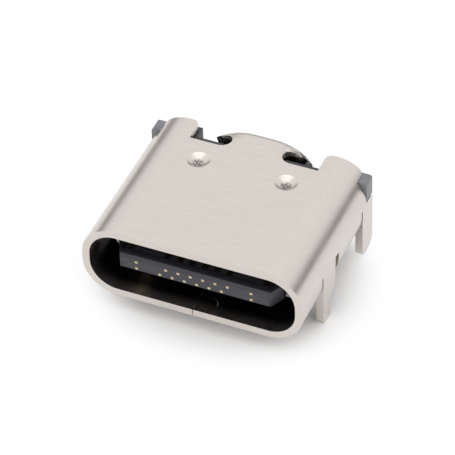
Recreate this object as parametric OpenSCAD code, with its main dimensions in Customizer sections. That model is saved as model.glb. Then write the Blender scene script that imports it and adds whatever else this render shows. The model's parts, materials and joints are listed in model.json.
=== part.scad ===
// Board-mounted reversible data and power socket with sixteen contacts.
// The origin is the centre of the mouth. X runs along the mouth, Y runs into
// the socket, Z is up, away from the board. Millimetres.

/* [Mouth] */
// Inside width of the mouth
mouth_w = 8.34; // [7.9:0.02:9]
// Inside height of the mouth
mouth_h = 2.56; // [2.4:0.02:2.9]
// Inside corner radius of the mouth
mouth_r = 1.11; // [0.7:0.01:1.15]

/* [Shell] */
// Thickness of the shell's sheet
wall = 0.3; // [0.2:0.01:0.36]
// Length of the shell, from the mouth to the back of the ears
shell_len = 7.05; // [6.4:0.05:7.8]
// Distance from the back of the shell to the end of its floor
floor_back = 1.65; // [1.65:0.05:2.2]
// Width of the gap in the floor's seam
seam_gap = 0.03; // [0.02:0.01:0.05]
// Radius of the round locks along the seam
lock_r = 0.41; // [0.25:0.01:0.5]
// Distance from the mouth to the first lock's centre
lock_y = 0.5; // [0.46:0.01:1]
// Distance between the two locks
lock_pitch = 3.4; // [2:0.1:3.6]
// Width across each pressed dimple
dimple_w = 0.9; // [0.6:0.05:1.1]
// Depth of each dimple
dimple_depth = 0.14; // [0.08:0.01:0.18]
// Distance between the two dimples
dimple_pitch = 3.6; // [2.6:0.1:4.2]
// Distance from the back of the shell to the dimples
dimple_back = 2.1; // [1.9:0.05:2.8]

/* [Rear ears and flap] */
// Distance between the two ears
ear_gap = 5.28; // [4.8:0.02:5.6]
// Depth of the notch between the ears, from the back
notch_len = 1.03; // [0.9:0.01:1.1]
// Corner radius of an ear
ear_r = 0.28; // [0.1:0.01:0.35]
// Depth of the side notch that the housing's shoulder fills
side_notch_len = 0.63; // [0.5:0.01:0.7]
// Height of the side notch's top over the mouth's centre
side_notch_top = 1.13; // [1:0.01:1.2]
// Height of the side notch's foot over the mouth's centre
side_notch_foot = 0.2; // [0.12:0.01:0.4]
// Width of the flap's neck
neck_w = 2.1; // [1.6:0.02:2.4]
// Width of the slots beside the neck
slot_w = 0.78; // [0.5:0.02:0.8]
// Outer bend radius of the flap
flap_bend_r = 0.38; // [0.36:0.01:0.45]
// Width of the flap across its wings
flap_w = 3.84; // [3.6:0.02:4.4]
// How far the flap's wings droop below the roof
wing_droop = 0.84; // [0.5:0.02:0.9]
// Height of the flap's lower edge over the board
flap_foot = 1.0; // [0.7:0.05:1.3]
// How far the flap stands out behind the ears
flap_reach = 0.27; // [0.2:0.01:0.35]

/* [Legs] */
// Length of the front leg below the board face
front_leg_drop = 0.75; // [0.6:0.05:1.2]
// Length of the rear leg below the board face
rear_leg_drop = 0.65; // [0.6:0.05:1.2]
// Distance from the back of the shell to the front leg's front edge
front_leg_back = 5.0; // [4.8:0.05:5.2]
// Width of the front leg above the board
front_leg_w = 1.22; // [1.1:0.02:1.4]
// Width of the front leg's stake
front_stake_w = 0.64; // [0.56:0.02:0.8]
// Width of the rear leg
rear_leg_w = 1.02; // [0.96:0.02:1.1]
// Height of the legs' slits over the mouth's centre
slit_top = 0.1; // [0:0.01:0.12]
// Width of a slit in front of a leg
slit_w = 0.08; // [0.06:0.01:0.12]
// Width of the opening behind the front leg
rear_slit_w = 0.32; // [0.2:0.01:0.4]

/* [Tongue] */
// Width of the tongue
tongue_w = 6.69; // [6.4:0.01:6.8]
// Thickness of the tongue
tongue_h = 0.7; // [0.6:0.01:0.8]
// Distance from the mouth to the tongue's tip
tongue_recess = 0.2; // [0.15:0.05:0.7]
// Length of the thin part of the tongue
tongue_len = 4.45; // [4.2:0.05:4.55]
// Thickness of the tongue's root
root_h = 1.3; // [1:0.05:1.5]
// Width of the tongue's tip, between the tapers of its corners
tip_w = 6.0; // [5.9:0.01:6.4]
// Length of the tapers at the tip's corners
tip_taper = 0.7; // [0.2:0.05:1]
// Bevel along the tip
tip_bevel = 0.13; // [0.05:0.01:0.14]
// Thickness of the steel plate in the tongue
plate_t = 0.15; // [0.1:0.01:0.2]
// Length of the latch notch in the tongue's side
latch_len = 1.2; // [0.8:0.05:1.5]
// Depth of the latch notch
latch_depth = 0.24; // [0.1:0.01:0.28]
// Distance from the tip to the latch notch
latch_back = 2.1; // [1.6:0.05:2.4]

/* [Housing] */
// Clearance between the housing and the shell
fit_gap = 0.02; // [0.01:0.005:0.04]
// Distance from the back of the shell to the back of the housing's base
base_inset = 0.56; // [0.5:0.01:0.6]
// Thickness of the housing's base, along the socket
base_t = 0.59; // [0.52:0.01:0.6]
// Radius of the locating pegs
peg_r = 0.25; // [0.2:0.01:0.28]
// Length of the locating pegs
peg_len = 0.65; // [0.4:0.05:0.7]
// Distance between the locating pegs
peg_pitch = 5.78; // [5.2:0.02:5.8]
// Distance from the back of the shell to the pegs
peg_back = 1.09; // [0.9:0.01:1.2]
// Height of the side blocks over the board
block_foot = 0.35; // [0.25:0.01:0.6]

/* [Contacts] */
// Distance between neighbouring contacts
pitch = 0.5; // [0.5:0.01:0.52]
// Width of a contact
contact_w = 0.25; // [0.2:0.01:0.26]
// Thickness of a contact
contact_t = 0.15; // [0.1:0.01:0.18]
// Width of a contact's tip
stub_w = 0.11; // [0.08:0.01:0.2]
// Thickness of a contact's tip
stub_t = 0.1; // [0.06:0.01:0.12]
// Inner bend radius of a solder tail
tail_r = 0.06; // [0.04:0.01:0.08]
// How far the solder tails reach past the shell
tail_out = 0.45; // [0.1:0.05:0.8]

/* [Hidden] */
$fn = 64;
EPS = 0.01; // overshoot of a cutter
FAR = 20;   // longer than anything here

outer_w = mouth_w + 2 * wall;
outer_h = mouth_h + 2 * wall;
outer_r = mouth_r + wall;
board_z = -outer_h / 2;
roof_z = mouth_h / 2;
side_x = mouth_w / 2;
corner_z = mouth_r - mouth_h / 2; // where the lower corners begin

// Shell
floor_len = shell_len - floor_back;
dimple_y = shell_len - dimple_back;
notch_y = shell_len - notch_len;
side_notch_y = shell_len - side_notch_len;
side_corner = 0.2;                // corners of the ear and leg at the notch
front_leg_y = shell_len - front_leg_back;
rear_leg_y = shell_len - rear_leg_w;
front_tip_z = board_z - front_leg_drop;
rear_tip_z = board_z - rear_leg_drop;
leg_front_r = 0.24;
leg_rear_r = 0.45;
shoulder_foot = 0.13;             // height of the front leg's shoulder
shoulder_top = 0.34;
shoulder_draft = 0.08;
window_x = outer_w / 2 - outer_r - wall;
floor_rest = 0.24;                // strip of floor that is left beside the cut
floor_cut_x = outer_w / 2 - outer_r + floor_rest;
lock_x = lock_r * 0.93;
lock_neck = lock_r / 2;
dimple_ball_r = (pow(dimple_w / 2, 2) + pow(dimple_depth, 2)) / (2 * dimple_depth);
dimple_z = outer_h / 2 - dimple_depth + dimple_ball_r;

// Flap. Its sheet leaves the roof flat, then arches across while it bends down
// over the housing's back, so that its two wings droop.
flap_y = shell_len + flap_reach;
flap_front_y = notch_y + slot_w;  // front edge of the wings
flap_bend_y = flap_y - flap_bend_r;
flap_bend_z = outer_h / 2 - flap_bend_r;
flap_half = flap_w / 2;
arch_x = flap_half / 4;           // half width of the arch's flat crown
arch_half = flap_half - arch_x;
arch_r = (pow(arch_half, 2) + pow(wing_droop, 2)) / (2 * wing_droop);
arch_y = notch_y + slot_w / 8;    // where the arch begins
arch_end_y = flap_bend_y + flap_bend_r * PI / 2;
plate_top = flap_bend_z - wing_droop - wall / 6;
flap_corner = 0.35;
wing_corner = 0.15;
neck_rows = 6;
wing_rows = 10;
neck_columns = 4;                 // on each side of the middle
wing_columns = 2;

// Tongue and contacts. The rows lie flush with the tongue's faces. A blade
// starts behind the tip's bar, and its tip dips into the bar.
tip_y = tongue_recess;
root_y = tip_y + tongue_len;
bar_len = 0.45;
rim_w = 0.4;                      // rims of the tongue, beside the inserts
blade_y = tip_y + bar_len;
blade_z = tongue_h / 2 - contact_t;
stub_z = blade_z - stub_t;
insert_w = tongue_w - 2 * rim_w;
base_back = shell_len - base_inset;
cavity_len = base_back - base_t;
step_lead = 0.1;                  // straight run of a blade into the root
tail_y = base_back - contact_t - 2 * fit_gap;
insert_back = tail_y - tail_r;
step_end = insert_back - fit_gap;
foot_start = tail_y + contact_t + tail_r;
foot_y = shell_len + tail_out;
latch_y = tip_y + latch_back;
lobe_x = tongue_w / 2 - latch_depth;
lobe_over = 0.2;                  // how far a lobe runs on past its notch

// Places of the contacts across the socket
power_x = 2.5 * pitch;
ground_x = 5.5 * pitch;
power_tail_x = 2.4;
ground_tail_x = 3.2;
pair_x = 0.15;                    // half the distance inside a pair of tails
tip_shift = pitch / 4;            // sideways offset of the tips
ground_tip_x = ground_x - 0.84 * pitch;
core_x = ground_tail_x + pair_x + contact_w;
block_lip = 0.1;                  // reach of the side blocks past the ears
shoulder_r = 0.1;                 // rounding along the shoulders' tops
neck_relief = 0.06;               // room between the base and the flap's neck
slab_x = floor_cut_x - fit_gap;

// [name, row, place on the tongue, place of the tail, place of the tip]
// row is 1 for the upper contacts and -1 for the lower ones.
CONTACTS = [
    ["contact_a1", 1, -ground_x, -ground_tail_x - pair_x, -ground_tip_x],
    ["contact_a4", 1, -power_x, -power_tail_x - pair_x, -power_x + tip_shift],
    ["contact_a5", 1, -1.5 * pitch, -2.5 * pitch, -1.5 * pitch + tip_shift],
    ["contact_a6", 1, -0.5 * pitch, -0.5 * pitch, -0.5 * pitch + tip_shift],
    ["contact_a7", 1, 0.5 * pitch, 0.5 * pitch, 0.5 * pitch + tip_shift],
    ["contact_a8", 1, 1.5 * pitch, 2.5 * pitch, 1.5 * pitch + tip_shift],
    ["contact_a9", 1, power_x, power_tail_x + pair_x, power_x + tip_shift],
    ["contact_a12", 1, ground_x, ground_tail_x + pair_x, ground_tip_x],
    ["contact_b1", -1, ground_x, ground_tail_x - pair_x, ground_tip_x],
    ["contact_b4", -1, power_x, power_tail_x - pair_x, power_x - tip_shift],
    ["contact_b5", -1, 1.5 * pitch, 3.5 * pitch, 1.5 * pitch - tip_shift],
    ["contact_b6", -1, 0.5 * pitch, 1.5 * pitch, 0.5 * pitch - tip_shift],
    ["contact_b7", -1, -0.5 * pitch, -1.5 * pitch, -0.5 * pitch - tip_shift],
    ["contact_b8", -1, -1.5 * pitch, -3.5 * pitch, -1.5 * pitch - tip_shift],
    ["contact_b9", -1, -power_x, -power_tail_x + pair_x, -power_x - tip_shift],
    ["contact_b12", -1, -ground_x, -ground_tail_x + pair_x, -ground_tip_x],
];

STEEL = "silver";
PLASTIC = "dimgray";
PLATE = "lightsteelblue";
GOLD = "gold";

// ---- drawing helpers ------------------------------------------------------

// Draws in the XZ plane and fills from y0 to y1
module along_y(y0, y1) {
    translate([0, y1, 0]) rotate([90, 0, 0]) linear_extrude(y1 - y0) children();
}

// Draws in the YZ plane and fills from x0 to x1
module across_x(x0, x1) {
    translate([x0, 0, 0]) rotate([90, 0, 90]) linear_extrude(x1 - x0) children();
}

// Draws in the XY plane and fills from z0 to z1
module up_z(z0, z1) {
    translate([0, 0, z0]) linear_extrude(z1 - z0) children();
}

module both_sides() {
    children();
    mirror([1, 0, 0]) children();
}

module block(x0, x1, y0, y1, z0, z1) {
    translate([x0, y0, z0]) cube([x1 - x0, y1 - y0, z1 - z0]);
}

// A rectangle with round corners, about its centre
module oval(w, h, r) {
    square([w - 2 * r, h], center = true);
    square([w, h - 2 * r], center = true);
    for (sx = [-1, 1], sy = [-1, 1])
        translate([sx * (w / 2 - r), sy * (h / 2 - r)]) circle(r);
}

// A rectangle from corner to corner
module area(x0, x1, y0, y1) {
    translate([x0, y0]) square([x1 - x0, y1 - y0]);
}

// A quarter of a ring about [cx, cy], in the quadrant that the signs name
module quarter_ring(cx, cy, r_in, t, sx, sy) {
    translate([cx, cy]) intersection() {
        difference() {
            circle(r_in + t);
            circle(r_in);
        }
        area(min(0, sx * FAR), max(0, sx * FAR), min(0, sy * FAR), max(0, sy * FAR));
    }
}

// ---- shell ----------------------------------------------------------------

// The tube of rolled sheet
module tube() {
    along_y(0, shell_len) difference() {
        oval(outer_w, outer_h, outer_r);
        oval(mouth_w, mouth_h, mouth_r);
    }
}

// The spandrel outside a round corner of radius r. Its square corner is at
// [cx, cy], and the signs say which way the material lies.
module corner_cut(cx, cy, r, sx, sy) {
    difference() {
        translate([cx + sx * r / 2, cy + sy * r / 2]) square(r + EPS, center = true);
        translate([cx + sx * r, cy + sy * r]) circle(r);
    }
}

// The line of the seam in the floor, with its round locks
module seam_line() {
    half = seam_gap / 2;
    centres = [lock_y, lock_y + lock_pitch];
    difference() {
        area(-half, half, -EPS, floor_len + EPS);
        for (y = centres) area(-1, 1, y - lock_neck, y + lock_neck);
    }
    for (y = centres) difference() {
        translate([lock_x, y]) circle(lock_r + half);
        translate([lock_x, y]) circle(lock_r - half);
        area(-lock_r, half, y - lock_neck, y + lock_neck);
    }
}

// What is cut from the roof between the ears, and the ears' round corners
module roof_notch() {
    area(-ear_gap / 2, ear_gap / 2, notch_y, FAR);
    both_sides() corner_cut(ear_gap / 2, shell_len, ear_r, 1, -1);
}

// Seen from the side: the notch for the housing's shoulder, and the corners
// of the ear and of the leg beside it
module side_notch() {
    area(side_notch_y, FAR, side_notch_foot, side_notch_top);
    corner_cut(shell_len, side_notch_top, side_corner, -1, 1);
    polygon([
        [shell_len - side_corner, side_notch_foot], [FAR, side_notch_foot],
        [FAR, corner_z], [shell_len, corner_z + side_corner / 2]
    ]);
}

module front_leg_outline() {
    y0 = front_leg_y;
    stake = y0 + front_stake_w;
    wide = y0 + front_leg_w;
    difference() {
        polygon([
            [y0, slit_top], [y0, front_tip_z], [stake, front_tip_z], [stake, board_z + shoulder_foot],
            [wide - shoulder_draft, board_z + shoulder_top], [wide, corner_z], [wide, slit_top]
        ]);
        corner_cut(y0, front_tip_z, leg_front_r, 1, 1);
        corner_cut(stake, front_tip_z, leg_front_r, -1, 1);
    }
}

module rear_leg_outline() {
    difference() {
        area(rear_leg_y, shell_len, rear_tip_z, slit_top);
        corner_cut(rear_leg_y, rear_tip_z, leg_front_r, 1, 1);
        corner_cut(shell_len, rear_tip_z, leg_rear_r, -1, 1);
    }
}

module legs() {
    both_sides() across_x(side_x, side_x + wall) {
        front_leg_outline();
        rear_leg_outline();
    }
}

// The windows that the legs leave in the side, the corner and the floor
module leg_windows() {
    front_end = front_leg_y + front_leg_w + rear_slit_w;
    both_sides() {
        block(window_x, FAR, front_leg_y - slit_w, front_end, -FAR, slit_top);
        block(window_x, FAR, rear_leg_y - slit_w, FAR, -FAR, slit_top);
    }
}

// Droop of the fully arched flap at x, and its slope there
function arch_in(x) = max(0, abs(x) - arch_x);
function arch_depth(x) = arch_r - sqrt(pow(arch_r, 2) - pow(arch_in(x), 2));
function arch_slope(x) = sign(x) * arch_in(x) / sqrt(pow(arch_r, 2) - pow(arch_in(x), 2));

// Share of the droop at the distance s along the sheet, and its rate
function arch_run(s) = min(1, max(0, (s - arch_y) / (arch_end_y - arch_y)));
function arch_share(s) = pow(arch_run(s), 2) * (3 - 2 * arch_run(s));
function arch_rate(s) = 6 * arch_run(s) * (1 - arch_run(s)) / (arch_end_y - arch_y);

// The point of the flap's sheet at x and s, at a depth below its outer face
function flap_point(x, s, depth) =
    let (
        angle = max(0, s - flap_bend_y) / flap_bend_r * 180 / PI,
        on_face = [
            x,
            min(s, flap_bend_y) + flap_bend_r * sin(angle),
            flap_bend_z + flap_bend_r * cos(angle) - arch_depth(x) * arch_share(s)
        ],
        normal = [
            arch_slope(x) * arch_share(s) * cos(angle),
            sin(angle) + arch_depth(x) * arch_rate(s),
            cos(angle)
        ]
    )
    on_face - depth * normal / norm(normal);

// Half widths of the sheet: of the neck, between its round slots, and of the wings
function neck_edge(s) =
    let (half = slot_w / 2, off = min(half, abs(s - notch_y - half)))
    neck_w / 2 + half - sqrt(pow(half, 2) - pow(off, 2));
function wing_edge(s) =
    let (off = min(wing_corner, max(0, flap_front_y + wing_corner - s)))
    flap_half - wing_corner + sqrt(pow(wing_corner, 2) - pow(off, 2));

// The sheet's rows, from the notch to the top of the plate, and its columns
function row_s(r) =
    r < neck_rows
    ? notch_y + slot_w / 2 * (1 - cos(180 * r / neck_rows))
    : flap_front_y + (arch_end_y - flap_front_y) * (r - neck_rows) / wing_rows;
function row_half(r) = r < neck_rows ? neck_columns : neck_columns + wing_columns;
function column_x(i, s) =
    abs(i) <= neck_columns
    ? neck_edge(min(s, flap_front_y)) * i / neck_columns
    : sign(i) * (
        neck_edge(flap_front_y)
        + (wing_edge(s) - neck_edge(flap_front_y)) * (abs(i) - neck_columns) / wing_columns
    );

// The arched sheet: its outer points row by row, then its inner ones
module flap_sheet() {
    rows = neck_rows + wing_rows;
    full = neck_columns + wing_columns;
    short_row = 2 * neck_columns + 1;
    long_row = 2 * full + 1;
    layer = neck_rows * short_row + (wing_rows + 2) * long_row;
    function at(r, side, i) =
        side * layer + min(r, neck_rows) * short_row + max(0, r - neck_rows) * long_row
        + row_half(r) + i;
    points = [
        for (side = [0, 1], r = [0:rows + 1], i = [-row_half(r):row_half(r)])
            r <= rows
            ? flap_point(column_x(i, row_s(r)), row_s(r), side * wall)
            : [column_x(i, arch_end_y), flap_y - side * wall, plate_top]
    ];
    // Corners of each cell, in turn, then its two triangles
    cells = concat(
        [for (r = [0:rows], i = [-row_half(r):row_half(r) - 1])
            [at(r, 0, i), at(r + 1, 0, i), at(r + 1, 0, i + 1), at(r, 0, i + 1)]],
        [for (r = [0:rows], i = [-row_half(r):row_half(r) - 1])
            [at(r, 1, i), at(r, 1, i + 1), at(r + 1, 1, i + 1), at(r + 1, 1, i)]],
        [for (r = [0:rows])
            [at(r, 0, row_half(r)), at(r + 1, 0, row_half(r)),
             at(r + 1, 1, row_half(r)), at(r, 1, row_half(r))]],
        [for (r = [0:rows])
            [at(r, 1, -row_half(r)), at(r + 1, 1, -row_half(r)),
             at(r + 1, 0, -row_half(r)), at(r, 0, -row_half(r))]],
        [for (i = [-full:full - 1])
            let (r = i < -neck_columns || i >= neck_columns ? neck_rows : 0)
            [at(r, 0, i), at(r, 0, i + 1), at(r, 1, i + 1), at(r, 1, i)]],
        [for (i = [-full:full - 1])
            [at(rows + 1, 0, i + 1), at(rows + 1, 0, i),
             at(rows + 1, 1, i), at(rows + 1, 1, i + 1)]]
    );
    polyhedron(
        points = points,
        faces = concat(
            [for (c = cells) [c[0], c[1], c[2]]],
            [for (c = cells) [c[0], c[2], c[3]]]
        )
    );
}

// The flap: its neck and wings, and the plate behind the housing
module flap() {
    foot = board_z + flap_foot;
    flap_sheet();
    along_y(flap_y - wall, flap_y) difference() {
        area(-flap_half, flap_half, foot, plate_top);
        both_sides() corner_cut(flap_half, foot, flap_corner, -1, 1);
    }
}

// A ball that presses a dimple into the roof, at the sheet's face or its back
module dimple_ball(offset_r) {
    both_sides() translate([dimple_pitch / 2, dimple_y, dimple_z]) sphere(dimple_ball_r + offset_r);
}

module dimple_backs() {
    intersection() {
        dimple_ball(wall);
        block(-FAR, FAR, 0, FAR, roof_z - wall, roof_z + EPS);
    }
}

module shell() color(STEEL) {
    difference() {
        union() {
            difference() {
                tube();
                up_z(roof_z - EPS, FAR) roof_notch();
                both_sides() across_x(outer_w / 2 - outer_r, FAR) side_notch();
                leg_windows();
                block(-floor_cut_x, floor_cut_x, floor_len, FAR, -FAR, -mouth_h / 2 + wall);
            }
            legs();
            flap();
            dimple_backs();
        }
        dimple_ball(0);
        up_z(board_z - EPS, -mouth_h / 2 + EPS) seam_line();
    }
}

// ---- contacts -------------------------------------------------------------

// A blade seen from above: straight on the tongue, then stepped sideways
// inside the root to the line of its tail
module blade_outline(x, tail_x) {
    half = contact_w / 2;
    step_y = abs(x) > 4 * pitch ? cavity_len : root_y + step_lead;
    polygon([
        [x - half, blade_y], [x + half, blade_y], [x + half, step_y],
        [tail_x + half, step_end], [tail_x + half, insert_back],
        [tail_x - half, insert_back], [tail_x - half, step_end], [x - half, step_y]
    ]);
}

// The blades of one row, as cutters for the insert that carries them
module row_of_blades(row) {
    for (c = CONTACTS) if (c[1] == row)
        up_z(blade_z, tongue_h / 2 + EPS) blade_outline(c[2], c[3]);
}

// The tip of an upper contact: it dips into the bar and ends in its face
module contact_tip(x, tip_x) {
    half = contact_w / 2;
    stub = stub_w / 2;
    bar_y = blade_y - bar_len / 3;
    across_x(x - half, x + half) polygon([
        [blade_y, blade_z], [blade_y, tongue_h / 2], [bar_y, stub_z + stub_t], [bar_y, stub_z]
    ]);
    block(
        min(x - half, tip_x - stub), max(x + half, tip_x + stub),
        bar_y - bar_len / 4, bar_y, stub_z, stub_z + stub_t
    );
    block(tip_x - stub, tip_x + stub, tip_y, bar_y, stub_z, stub_z + stub_t);
}

// The tail seen from the side: down behind the insert, then out as a foot
module tail_profile(top) {
    area(tail_y, tail_y + contact_t, board_z + contact_t + tail_r, top - contact_t - tail_r);
    quarter_ring(insert_back, top - contact_t - tail_r, tail_r, contact_t, 1, 1);
    quarter_ring(foot_start, board_z + contact_t + tail_r, tail_r, contact_t, -1, -1);
    area(foot_start, foot_y, board_z, board_z + contact_t);
}

module contact(c) color(GOLD) {
    top = c[1] > 0 ? tongue_h / 2 : -blade_z;
    mirror([0, 0, c[1] > 0 ? 0 : 1]) {
        up_z(blade_z, tongue_h / 2) blade_outline(c[2], c[3]);
        contact_tip(c[2], c[4]);
    }
    across_x(c[3] - contact_w / 2, c[3] + contact_w / 2) tail_profile(top);
}

// ---- inserts and plate ----------------------------------------------------

// Outline of what lies in the housing: narrow in the tongue, wide in the base
module core_outline() {
    area(-insert_w / 2, insert_w / 2, blade_y, cavity_len + EPS);
    area(-core_x, core_x, cavity_len, insert_back);
}

module upper_insert() color(PLASTIC) difference() {
    up_z(plate_t / 2, tongue_h / 2) core_outline();
    row_of_blades(1);
}

module lower_insert() color(PLASTIC) mirror([0, 0, 1]) difference() {
    up_z(plate_t / 2, tongue_h / 2) core_outline();
    row_of_blades(-1);
}

// The plate with the lobes that the latches of a plug catch
module plate_outline() {
    core_outline();
    area(-lobe_x, lobe_x, latch_y - lobe_over, latch_y + latch_len + lobe_over);
}

module mid_plate() color(PLATE) up_z(-plate_t / 2, plate_t / 2) plate_outline();

// ---- housing --------------------------------------------------------------

// The shell's inside, less the clearance
module bore_section() {
    oval(mouth_w - 2 * fit_gap, mouth_h - 2 * fit_gap, mouth_r - fit_gap);
}

// The tongue seen from above, with tapered corners at its tip
module tongue_outline() {
    side = tongue_w / 2;
    polygon([
        [-tip_w / 2, tip_y], [tip_w / 2, tip_y], [side, tip_y + tip_taper],
        [side, root_y + EPS], [-side, root_y + EPS], [-side, tip_y + tip_taper]
    ]);
}

module tongue_body() {
    difference() {
        up_z(-tongue_h / 2, tongue_h / 2) tongue_outline();
        for (s = [-1, 1]) across_x(-FAR, FAR) polygon([
            [tip_y - EPS, s * (tongue_h / 2 - tip_bevel)], [tip_y - EPS, s * FAR],
            [tip_y + tip_bevel, s * FAR], [tip_y + tip_bevel, s * tongue_h / 2]
        ]);
        both_sides() block(lobe_x, FAR, latch_y, latch_y + latch_len, -FAR, FAR);
    }
    block(-tongue_w / 2, tongue_w / 2, root_y, cavity_len + EPS, -root_h / 2, root_h / 2);
}

module peg() {
    lead = peg_r / 3;
    translate([peg_pitch / 2, shell_len - peg_back, board_z - peg_len]) {
        cylinder(h = lead, r1 = peg_r - lead, r2 = peg_r);
        translate([0, 0, lead]) cylinder(h = peg_len - lead + EPS, r = peg_r);
    }
}

// Beside the flap the housing fills the shell's corners to the very back
module side_blocks() {
    along_y(base_back - EPS, shell_len) intersection() {
        bore_section();
        both_sides() area(ear_gap / 2 - block_lip, FAR, board_z + block_foot, FAR);
    }
    edge_x = side_x + wall - fit_gap / 2;
    top = side_notch_top - fit_gap;
    both_sides() along_y(side_notch_y + 2 * fit_gap, shell_len) difference() {
        area(side_x - 2 * wall, edge_x, side_notch_foot + fit_gap, top);
        corner_cut(edge_x, top, shoulder_r, -1, -1);
    }
}

module housing() color(PLASTIC) difference() {
    union() {
        along_y(cavity_len, base_back) bore_section();
        block(-slab_x, slab_x, floor_len + 2 * fit_gap, base_back, board_z, -mouth_h / 2 + fit_gap);
        side_blocks();
        tongue_body();
        both_sides() peg();
    }
    up_z(-tongue_h / 2, tongue_h / 2) core_outline();
    up_z(-plate_t / 2, plate_t / 2) plate_outline();
    block(
        -neck_w / 2 - neck_relief, neck_w / 2 + neck_relief, notch_y, FAR,
        roof_z - neck_relief, FAR
    );
    for (c = CONTACTS) {
        top = c[1] > 0 ? tongue_h / 2 : -blade_z;
        mirror([0, 0, c[1] > 0 ? 0 : 1]) contact_tip(c[2], c[4]);
        block(
            c[3] - contact_w / 2, c[3] + contact_w / 2, insert_back - EPS, base_back + EPS,
            board_z - EPS, top
        );
    }
}

shell();
housing();
upper_insert();
lower_insert();
mid_plate();
for (c = CONTACTS) contact(c);
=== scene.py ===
"""Looks of a board-mounted data and power socket: a rolled sheet-steel shell on
four stakes, round a moulded tongue with two rows of contacts.

The mouth's centre is the origin. X runs along the mouth, Y into the socket and
Z up, away from the board.
"""

import json
import math

import bpy
from mathutils import Matrix, Vector


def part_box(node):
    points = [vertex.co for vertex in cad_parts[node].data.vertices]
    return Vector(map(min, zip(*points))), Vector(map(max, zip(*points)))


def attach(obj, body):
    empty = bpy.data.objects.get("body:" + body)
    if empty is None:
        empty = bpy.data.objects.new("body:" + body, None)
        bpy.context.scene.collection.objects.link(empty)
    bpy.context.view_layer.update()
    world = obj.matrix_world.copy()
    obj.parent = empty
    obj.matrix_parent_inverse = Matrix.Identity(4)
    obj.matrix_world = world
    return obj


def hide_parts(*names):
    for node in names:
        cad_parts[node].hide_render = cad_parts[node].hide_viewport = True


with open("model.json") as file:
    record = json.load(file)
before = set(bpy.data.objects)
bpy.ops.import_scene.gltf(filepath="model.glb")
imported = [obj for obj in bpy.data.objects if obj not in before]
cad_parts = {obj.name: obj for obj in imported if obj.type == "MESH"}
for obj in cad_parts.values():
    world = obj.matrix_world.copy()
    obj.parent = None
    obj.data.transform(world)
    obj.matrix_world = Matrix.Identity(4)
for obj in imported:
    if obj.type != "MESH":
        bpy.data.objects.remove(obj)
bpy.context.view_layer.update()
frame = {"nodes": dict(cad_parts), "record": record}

MM = 0.001
bpy.ops.object.select_all(action="DESELECT")


# ---- materials --------------------------------------------------------------

def paint(hex_colour):
    """An sRGB hex colour as linear RGBA."""
    parts = [int(hex_colour[i:i + 2], 16) / 255 for i in (1, 3, 5)]
    return [c / 12.92 if c <= 0.04045 else ((c + 0.055) / 1.055) ** 2.4 for c in parts] + [1]


def add_node(tree, kind, settings=(), **inputs):
    """Adds a node, sets its properties, and fills or links its inputs."""
    node = tree.nodes.new(kind)
    for name, value in dict(settings).items():
        setattr(node, name, value)
    for name, value in inputs.items():
        socket = node.inputs[int(name[1:])] if name[0] == "i" and name[1:].isdigit() else node.inputs[name.replace("_", " ")]
        if isinstance(value, bpy.types.NodeSocket):
            tree.links.new(value, socket)
        else:
            socket.default_value = value
    return node


def new_material(name):
    material = bpy.data.materials.new(name)
    material.use_nodes = True
    material.node_tree.nodes.clear()
    return material, material.node_tree


def finish_material(tree, shader):
    out = tree.nodes.new("ShaderNodeOutputMaterial")
    tree.links.new(shader.outputs[0], out.inputs["Surface"])


DIMPLE_X, DIMPLE_Y, DIMPLE_R = 1.8, 4.95, 0.45    # in millimetres
MOUTH_HALF_W = 4.17 * MM
MOUTH_HALF_H = 1.28 * MM
MOUTH_R = 1.11 * MM


def math_node(tree, operation, *values):
    """A math node's output."""
    inputs = {f"i{n}": value for n, value in enumerate(values)}
    return add_node(tree, "ShaderNodeMath", {"operation": operation}, **inputs).outputs[0]


def bore_shade_mask(tree, where, start, full):
    """The mask of the painted shade in the bore: 0 outside and in the front edge, 1 within the bore, where
    little light gets in.
    """
    axes = add_node(tree, "ShaderNodeSeparateXYZ", Vector=where).outputs
    past = []
    for axis, half in (("X", MOUTH_HALF_W), ("Z", MOUTH_HALF_H)):
        away = math_node(tree, "SUBTRACT", math_node(tree, "ABSOLUTE", axes[axis]), half - MOUTH_R)
        past.append(math_node(tree, "MAXIMUM", away, 0.0))
    squares = [math_node(tree, "MULTIPLY", value, value) for value in past]
    reach = math_node(tree, "SQRT", math_node(tree, "ADD", *squares))
    inside = math_node(tree, "LESS_THAN", reach, MOUTH_R + 0.03 * MM)
    deep = add_node(tree, "ShaderNodeMapRange", {"interpolation_type": "SMOOTHSTEP"},
                    Value=axes["Y"], From_Min=start, From_Max=full).outputs[0]
    return math_node(tree, "MULTIPLY", inside, deep)


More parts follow.
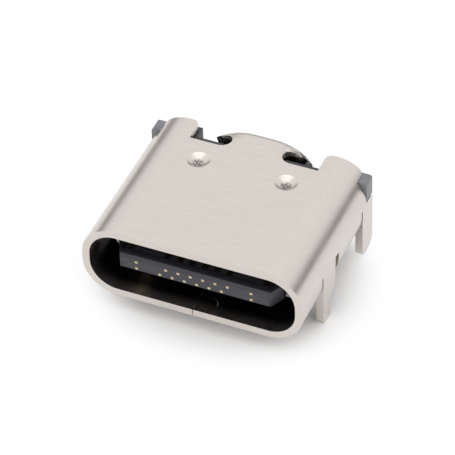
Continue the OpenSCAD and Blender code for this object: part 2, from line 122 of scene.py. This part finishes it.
def satin_nickel():
    """Nickel over rolled steel: a warm satin grey with faint marks along the mouth, with painted shade in the
    bore and a painted dark reflection in each dimple.
    """
    material, tree = new_material("satin_nickel_plated_steel")
    where = add_node(tree, "ShaderNodeTexCoord").outputs["Object"]
    # Rolling marks: about 0.6 mm long and 0.03 mm wide
    marks_place = add_node(tree, "ShaderNodeMapping", Vector=where, Scale=(1600, 30000, 30000))
    marks = add_node(tree, "ShaderNodeTexNoise", Vector=marks_place.outputs[0], Scale=1.0, Detail=3.0)
    # Handling marks: cloudy patches of about 1 mm
    cloud = add_node(tree, "ShaderNodeTexNoise", Vector=where, Scale=900.0, Detail=4.0)
    rough = add_node(tree, "ShaderNodeMapRange", Value=cloud.outputs["Fac"],
                     From_Min=0.3, From_Max=0.7, To_Min=0.26, To_Max=0.32)
    tint = add_node(tree, "ShaderNodeMix", {"data_type": "RGBA"}, i0=marks.outputs["Fac"],
                    i6=paint("#cdc6bf"), i7=paint("#e3dcd6"))
    # Painted shade: the steel is painted a dark grey within the bore, where little light reaches
    inside = bore_shade_mask(tree, where, 0.1 * MM, 0.7 * MM)
    tint = add_node(tree, "ShaderNodeMix", {"data_type": "RGBA"}, i0=inside, i6=tint.outputs[2],
                    i7=paint("#4b4749"))
    # Painted dark reflection: the bottom of each dimple is painted a darker, pitted grey, standing in for the
    # dim reflection in the dent
    axes = add_node(tree, "ShaderNodeSeparateXYZ", Vector=where).outputs
    aside = math_node(tree, "SUBTRACT", math_node(tree, "ABSOLUTE", axes["X"]), DIMPLE_X * MM)
    along = math_node(tree, "SUBTRACT", axes["Y"], (DIMPLE_Y - 0.08) * MM)
    apart = math_node(tree, "SQRT", math_node(tree, "ADD", math_node(tree, "MULTIPLY", aside, aside),
                                              math_node(tree, "MULTIPLY", along, along)))
    painted_dimple_reflection = add_node(tree, "ShaderNodeMapRange", {"interpolation_type": "SMOOTHSTEP"},
                    Value=apart, From_Min=0.30 * MM, From_Max=0.14 * MM).outputs[0]
    pits = add_node(tree, "ShaderNodeTexNoise", Vector=where, Scale=11000.0, Detail=1.0)
    pitted = add_node(tree, "ShaderNodeMapRange", Value=pits.outputs["Fac"],
                      From_Min=0.62, From_Max=0.5, To_Min=0.1, To_Max=0.9).outputs[0]
    above = math_node(tree, "GREATER_THAN", axes["Z"], 1.3 * MM)
    painted_dimple_reflection = math_node(tree, "MULTIPLY", math_node(tree, "MULTIPLY", painted_dimple_reflection, pitted), above)
    # Painted dark reflection in the bottom of each dimple
    tint = add_node(tree, "ShaderNodeMix", {"data_type": "RGBA"}, i0=painted_dimple_reflection, i6=tint.outputs[2],
                    i7=paint("#6f6863"))
    bump = add_node(tree, "ShaderNodeBump", Height=marks.outputs["Fac"], Strength=0.07, Distance=0.000006)
    shader = add_node(tree, "ShaderNodeBsdfPrincipled", Base_Color=tint.outputs[2], Metallic=1.0,
                      Roughness=rough.outputs[0], Normal=bump.outputs[0])
    finish_material(tree, shader)
    return material


def moulded_plastic():
    """Glass-filled plastic: a dull grey-black with a fine moulded grain, and painted shade within the mouth.
    """
    material, tree = new_material("moulded_glass_filled_plastic")
    where = add_node(tree, "ShaderNodeTexCoord").outputs["Object"]
    grain = add_node(tree, "ShaderNodeTexNoise", Vector=where, Scale=14000.0, Detail=3.0)
    tint = add_node(tree, "ShaderNodeMix", {"data_type": "RGBA"}, i0=grain.outputs["Fac"],
                    i6=paint("#6c6d71"), i7=paint("#828387"))
    # Painted shade: the plastic is painted near black within the mouth, where little light reaches
    inside = bore_shade_mask(tree, where, 0.0, 0.05 * MM)
    tint = add_node(tree, "ShaderNodeMix", {"data_type": "RGBA"}, i0=inside, i6=tint.outputs[2],
                    i7=paint("#37353c"))
    bump = add_node(tree, "ShaderNodeBump", Height=grain.outputs["Fac"], Strength=0.2, Distance=0.000004)
    shader = add_node(tree, "ShaderNodeBsdfPrincipled", Base_Color=tint.outputs[2],
                      Roughness=0.42, Normal=bump.outputs[0])
    finish_material(tree, shader)
    return material


def plated_gold():
    """Thin gold over a copper alloy: pale yellow, with a soft shine."""
    material, tree = new_material("gold_plated_contact")
    where = add_node(tree, "ShaderNodeTexCoord").outputs["Object"]
    wear = add_node(tree, "ShaderNodeTexNoise", Vector=where, Scale=6000.0, Detail=2.0)
    tint = add_node(tree, "ShaderNodeMix", {"data_type": "RGBA"}, i0=wear.outputs["Fac"],
                    i6=paint("#c2b084"), i7=paint("#ded2ae"))
    shader = add_node(tree, "ShaderNodeBsdfPrincipled", Base_Color=tint.outputs[2],
                      Metallic=1.0, Roughness=0.3)
    finish_material(tree, shader)
    return material


def bare_steel():
    """Stamped stainless strip: a neutral grey, duller than the plated shell."""
    material, tree = new_material("bare_stainless_strip")
    where = add_node(tree, "ShaderNodeTexCoord").outputs["Object"]
    grain = add_node(tree, "ShaderNodeTexNoise", Vector=where, Scale=9000.0, Detail=2.0)
    rough = add_node(tree, "ShaderNodeMapRange", Value=grain.outputs["Fac"], To_Min=0.3, To_Max=0.45)
    shader = add_node(tree, "ShaderNodeBsdfPrincipled", Base_Color=paint("#c4c2be"),
                      Metallic=1.0, Roughness=rough.outputs[0])
    finish_material(tree, shader)
    return material


finishes = {
    "shell_steel": satin_nickel(),
    "housing_plastic": moulded_plastic(),
    "contact_gold": plated_gold(),
    "plate_steel": bare_steel(),
}
for row in frame["record"]["subparts"]:
    node = frame["nodes"][row["node"]]
    node.data.materials.clear()
    node.data.materials.append(finishes[row["material_slot"]])
    for face in node.data.polygons:
        face.use_smooth = True

# ---- finished pieces ---------------------------------------------------------

def copy_to_shape(node_name, name):
    """A merged copy of a CAD mesh, open in edit mode and scaled to millimetres."""
    bpy.ops.object.select_all(action="DESELECT")
    source = frame["nodes"][node_name]
    piece = bpy.data.objects.new(name, source.data.copy())
    bpy.context.collection.objects.link(piece)
    piece.select_set(True)
    bpy.context.view_layer.objects.active = piece
    bpy.ops.object.mode_set(mode="EDIT")
    bpy.ops.mesh.select_all(action="SELECT")
    bpy.ops.transform.resize(value=(1 / MM,) * 3, center_override=(0, 0, 0))
    bpy.ops.mesh.remove_doubles(threshold=0.0005)
    bpy.ops.mesh.dissolve_limited(angle_limit=math.radians(0.3))
    bpy.ops.mesh.select_all(action="DESELECT")
    return piece


def select_edges(piece, test):
    """Selects the edges, in millimetres, whose two ends pass the test."""
    bpy.ops.mesh.select_mode(type="EDGE")
    bpy.ops.mesh.select_all(action="DESELECT")
    bpy.ops.object.mode_set(mode="OBJECT")
    points = piece.data.vertices
    for edge in piece.data.edges:
        edge.select = all(test(points[i].co) for i in edge.vertices)
    bpy.ops.object.mode_set(mode="EDIT")


def close_shape(piece, node_name, smooth_angle):
    """Scales the piece back to metres, shades it and sets it in the node's place."""
    bpy.ops.mesh.select_all(action="SELECT")
    bpy.ops.mesh.normals_make_consistent(inside=False)
    bpy.ops.transform.resize(value=(MM,) * 3, center_override=(0, 0, 0))
    bpy.ops.object.mode_set(mode="OBJECT")
    bpy.ops.object.shade_smooth_by_angle(angle=math.radians(smooth_angle))
    # Wide flat faces keep their own normals, so only the rolled stretches look round
    weights = piece.modifiers.new("weights", "WEIGHTED_NORMAL")
    weights.keep_sharp = True
    weights.mode = "FACE_AREA_WITH_ANGLE"
    bpy.ops.object.modifier_apply(modifier="weights")
    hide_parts(node_name)
    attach(piece, "root")


# The housing, with the soft edges of a moulding on its two shoulders
housing = copy_to_shape("housing", "housing_finish")
select_edges(housing, lambda p: abs(p.x) > 4.2)
bpy.ops.mesh.bevel(offset=0.06, segments=3, affect="EDGES", clamp_overlap=True)
close_shape(housing, "housing", 35)

# ---- studio -----------------------------------------------------------------

scene = bpy.context.scene
scene.view_settings.view_transform = "Standard"



def seen_white(tree):
    """1 on the rays that see the white backdrop itself, a little less in reflections."""
    rays = add_node(tree, "ShaderNodeLightPath").outputs
    straight = math_node(tree, "MAXIMUM", rays["Is Camera Ray"], rays["Is Transmission Ray"])
    return math_node(tree, "MAXIMUM", straight, math_node(tree, "MULTIPLY", rays["Is Glossy Ray"], 0.75))


low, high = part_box("shell")
bpy.ops.mesh.primitive_plane_add(size=0.6, location=(0, 0, low.z))
floor = bpy.context.object
floor.name = "floor"
bpy.ops.object.transform_apply()
material, tree = new_material("white_paper")
paper = add_node(tree, "ShaderNodeBsdfDiffuse", Color=paint("#f6f6f6"))
glow = add_node(tree, "ShaderNodeEmission", Color=paint("#ffffff"), Strength=1.0)
where = add_node(tree, "ShaderNodeTexCoord").outputs["Object"]
# The glow starts beside the socket, so the paper under it stays in its shadow
foot = add_node(tree, "ShaderNodeMapping", Vector=where, Location=(0, -3.4 * MM, 0))
foot = add_node(tree, "ShaderNodeMapping", Vector=foot.outputs[0], Scale=(1 / (5.6 * MM), 1 / (4.6 * MM), 0))
away = add_node(tree, "ShaderNodeVectorMath", {"operation": "LENGTH"}, i0=foot.outputs[0]).outputs["Value"]
beside = add_node(tree, "ShaderNodeMapRange", {"interpolation_type": "SMOOTHSTEP"},
                  Value=away, From_Min=0.75, From_Max=1.15, To_Max=0.97)
share = math_node(tree, "MULTIPLY", seen_white(tree), beside.outputs[0])
mix = add_node(tree, "ShaderNodeMixShader", i0=share, i1=paper.outputs[0], i2=glow.outputs[0])
# Seen from below, the paper is clear
clear = add_node(tree, "ShaderNodeBsdfTransparent")
behind = add_node(tree, "ShaderNodeNewGeometry").outputs["Backfacing"]
mix = add_node(tree, "ShaderNodeMixShader", i0=behind, i1=mix.outputs[0], i2=clear.outputs[0])
finish_material(tree, mix)
floor.data.materials.append(material)


def sky_part(tree, axis_value, dark_end, light_end):
    """A soft 0 to 1 step along one axis of the sky."""
    return add_node(tree, "ShaderNodeMapRange", {"interpolation_type": "SMOOTHSTEP"},
                    Value=axis_value, From_Min=dark_end, From_Max=light_end).outputs[0]


# The sky is a plain studio: a soft light overhead and in front, and a dim band
# low behind the socket, which gives the steel its dark reflections.
world = bpy.data.worlds.new("studio")
scene.world = world
world.use_nodes = True
tree = world.node_tree
tree.nodes.clear()
toward = add_node(tree, "ShaderNodeTexCoord").outputs["Generated"]
axes = add_node(tree, "ShaderNodeSeparateXYZ", Vector=toward).outputs
behind = sky_part(tree, axes["Y"], 0.25, 0.6)
above_floor = sky_part(tree, axes["Z"], -0.02, 0.02)
low_down = sky_part(tree, axes["Z"], 0.42, 0.12)
band = add_node(tree, "ShaderNodeMath", {"operation": "MULTIPLY"}, i0=behind, i1=low_down)
band = add_node(tree, "ShaderNodeMath", {"operation": "MULTIPLY"}, i0=band.outputs[0], i1=above_floor)
front = sky_part(tree, axes["Y"], 0.2, -0.4)
overhead = sky_part(tree, axes["Z"], 0.3, 0.8)
box = add_node(tree, "ShaderNodeMath", {"operation": "MULTIPLY"}, i0=front, i1=overhead)
level = add_node(tree, "ShaderNodeMath", {"operation": "MULTIPLY_ADD"},
                 i0=band.outputs[0], i1=-0.85, i2=1.0)
level = math_node(tree, "MULTIPLY_ADD", box.outputs[0], 0.3, level.outputs[0])
lamp = sky_part(tree, axes["Z"], 0.84, 0.95)
level = math_node(tree, "MULTIPLY_ADD", lamp, 0.45, level)
studio = add_node(tree, "ShaderNodeBackground", Color=paint("#ffffff"), Strength=level)
white = add_node(tree, "ShaderNodeBackground", Color=paint("#ffffff"), Strength=1.0)
rays = add_node(tree, "ShaderNodeLightPath").outputs
plain = add_node(tree, "ShaderNodeMath", {"operation": "MAXIMUM"},
                 i0=rays["Is Camera Ray"], i1=rays["Is Transmission Ray"])
shader = add_node(tree, "ShaderNodeMixShader", i0=plain.outputs[0], i1=studio.outputs[0], i2=white.outputs[0])
out = tree.nodes.new("ShaderNodeOutputWorld")
tree.links.new(shader.outputs[0], out.inputs["Surface"])

# The camera stands to the front and right, well above the socket.
bpy.ops.object.camera_add(
    location=(40.995 * MM, -87.280 * MM, 89.729 * MM),
    rotation=(math.radians(47.949), math.radians(1.318), math.radians(23.131)),
)
camera = bpy.context.object
camera.data.lens = 280.18
camera.data.clip_start = 0.01
scene.camera = camera
